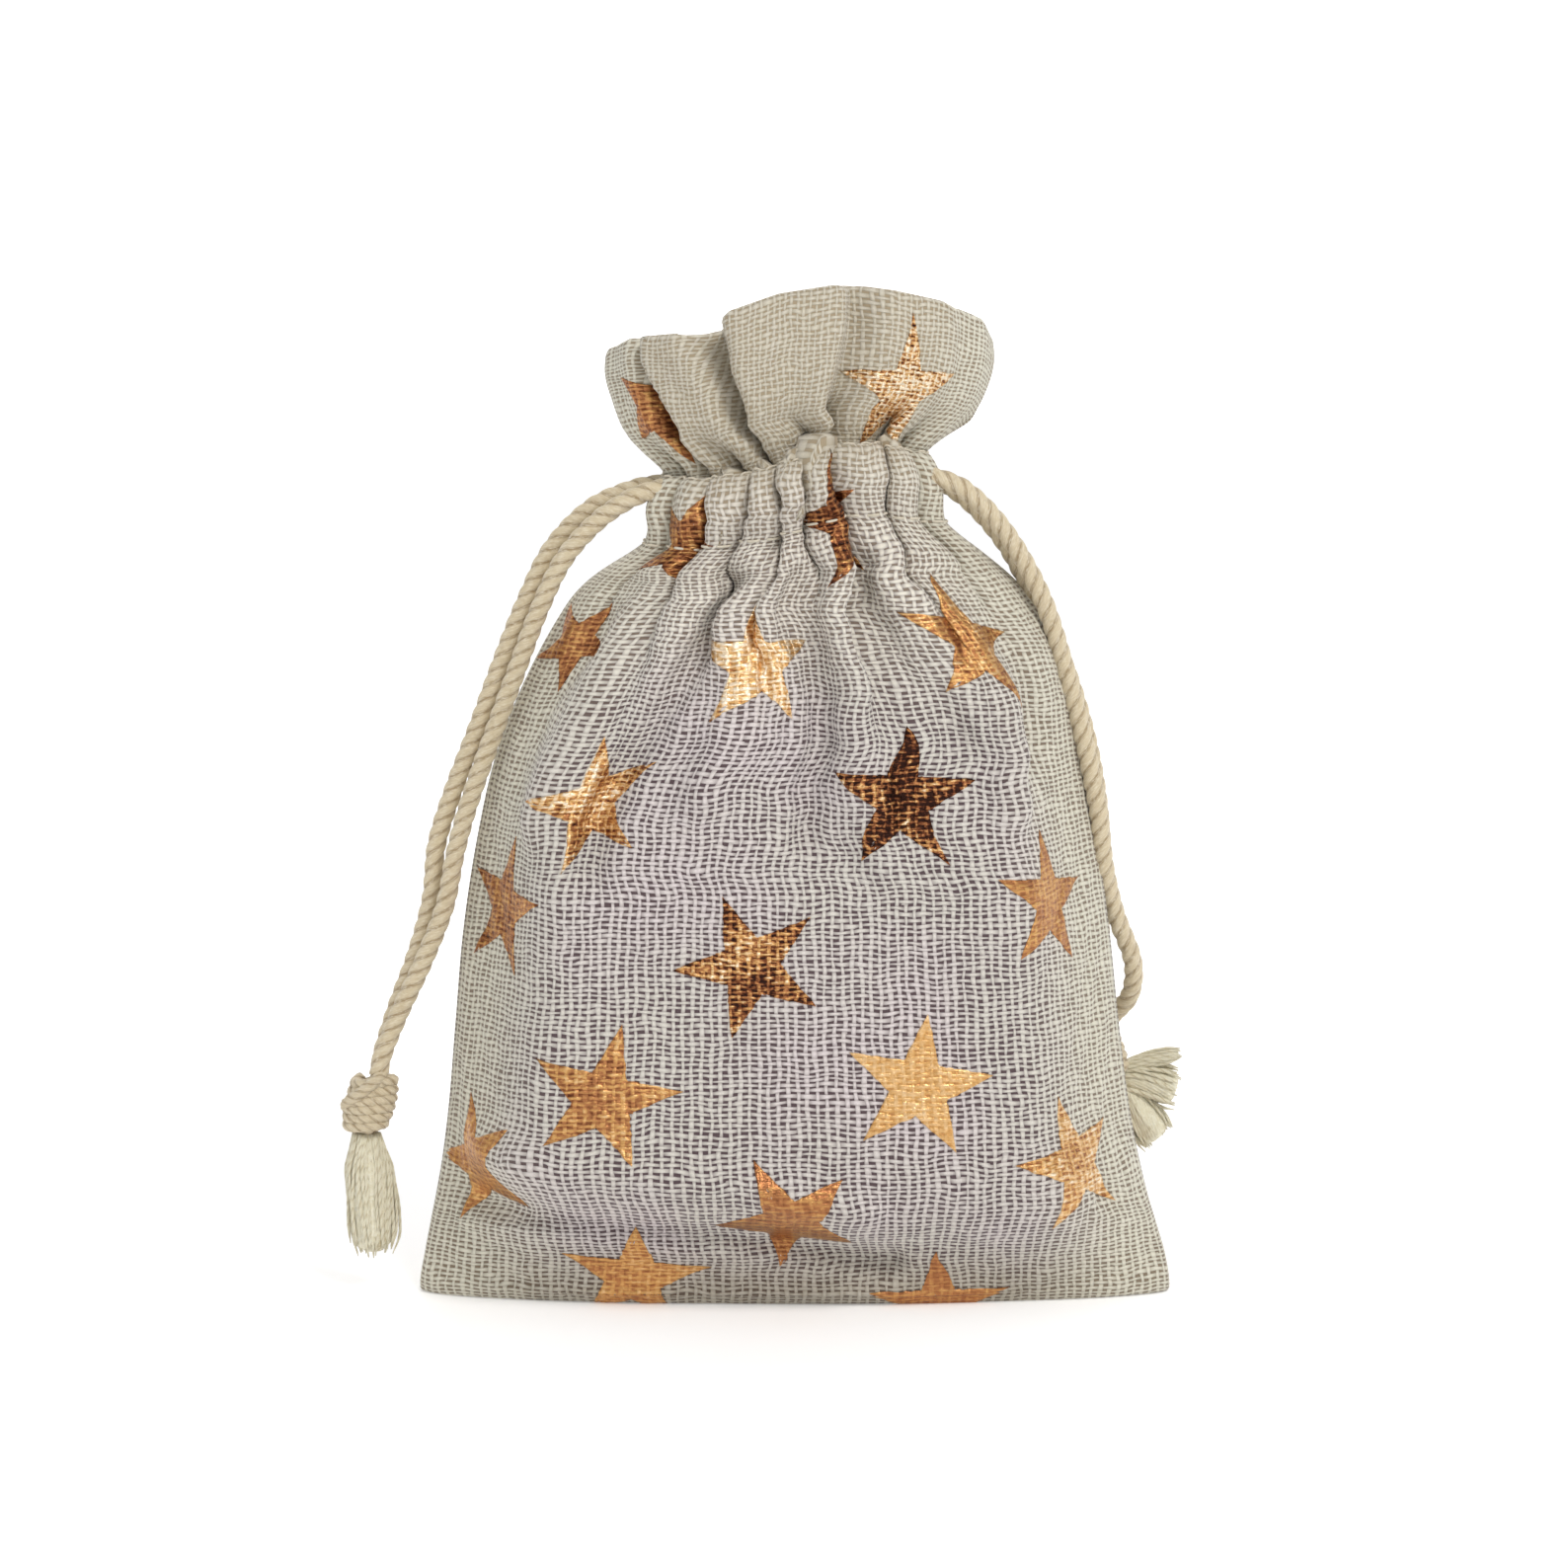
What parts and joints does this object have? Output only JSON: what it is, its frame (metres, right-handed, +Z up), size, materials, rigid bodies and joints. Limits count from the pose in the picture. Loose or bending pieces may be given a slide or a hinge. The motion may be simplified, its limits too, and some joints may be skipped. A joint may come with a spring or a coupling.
{
  "type": "drawstring gift sack",
  "caption": "Small drawstring gift sack of open plain-weave cloth printed with foil stars, with a gathered neck, a frill, and twisted cords that end in knots and tassels.",
  "frame": {"origin": "middle of the flat base, on the surface that it stands on", "axes": "+Z up, width along X, front faces -Y"},
  "size_m": [0.1121, 0.0394, 0.1295],
  "materials": {
    "cloth": "matte open plain weave of natural yarn",
    "thread": "matte sewing thread",
    "cord": "matte twisted cotton",
    "frayed_yarn": "matte loose cotton yarn",
    "foil": "crinkled rose-gold metallised film"
  },
  "bodies": {
    "sack": {"front_panel": "cloth", "back_panel": "cloth", "left_seam_allowance": "cloth", "right_seam_allowance": "cloth", "left_seam_stitching": "thread", "right_seam_stitching": "thread", "front_casing": "cloth", "back_casing": "cloth", "front_casing_stitching": "thread", "back_casing_stitching": "thread", "front_foil_stars": "foil", "back_foil_stars": "foil"},
    "front_frill": {"front_frill": "cloth", "front_frill_foil_stars": "foil"},
    "back_frill": {"back_frill": "cloth", "back_frill_foil_stars": "foil"},
    "left_cord_loop": {"left_cord_loop": "cord"},
    "left_cord": {"left_cord_front_strand": "cord", "left_cord_back_strand": "cord", "left_knot": "cord"},
    "left_tassel": {"left_tassel": "frayed_yarn"},
    "right_cord_loop": {"right_cord_loop": "cord"},
    "right_cord": {"right_cord_front_strand": "cord", "right_cord_back_strand": "cord", "right_knot": "cord"},
    "right_tassel": {"right_tassel": "frayed_yarn"}
  },
  "joints": [
    {"name": "front_frill_tilt", "type": "hinge", "parent": "sack", "child": "front_frill", "pos_m": [0, -0.0106, 0.1084], "axis": [1, 0, 0], "range_deg": [0, 25], "stiffness_Nm_per_rad": 0.0008},
    {"name": "back_frill_tilt", "type": "hinge", "parent": "sack", "child": "back_frill", "pos_m": [0, 0.0106, 0.1084], "axis": [-1, 0, 0], "range_deg": [0, 25], "stiffness_Nm_per_rad": 0.0008},
    {"name": "left_cord_draw", "type": "slide", "parent": "sack", "child": "left_cord_loop", "axis": [-1, 0, 0], "range_m": [0, 0.002]},
    {"name": "left_cord_swing", "type": "hinge", "parent": "left_cord_loop", "child": "left_cord", "pos_m": [-0.0172, 0, 0.1016], "axis": [0, 1, 0], "range_deg": [0, 50]},
    {"name": "left_tassel_swing", "type": "hinge", "parent": "left_cord", "child": "left_tassel", "pos_m": [-0.053, 0, 0.0201], "axis": [0, 1, 0], "range_deg": [-10, 30]},
    {"name": "right_cord_draw", "type": "slide", "parent": "sack", "child": "right_cord_loop", "axis": [1, 0, 0], "range_m": [0, 0.002]},
    {"name": "right_cord_swing", "type": "hinge", "parent": "right_cord_loop", "child": "right_cord", "pos_m": [0.0172, 0, 0.1052], "axis": [0, -1, 0], "range_deg": [0, 50]},
    {"name": "right_tassel_swing", "type": "hinge", "parent": "right_cord", "child": "right_tassel", "pos_m": [0.0432, 0.0166, 0.0213], "axis": [0, 1, 0], "range_deg": [-15, 25], "stiffness_Nm_per_rad": 0.0002}
  ]
}
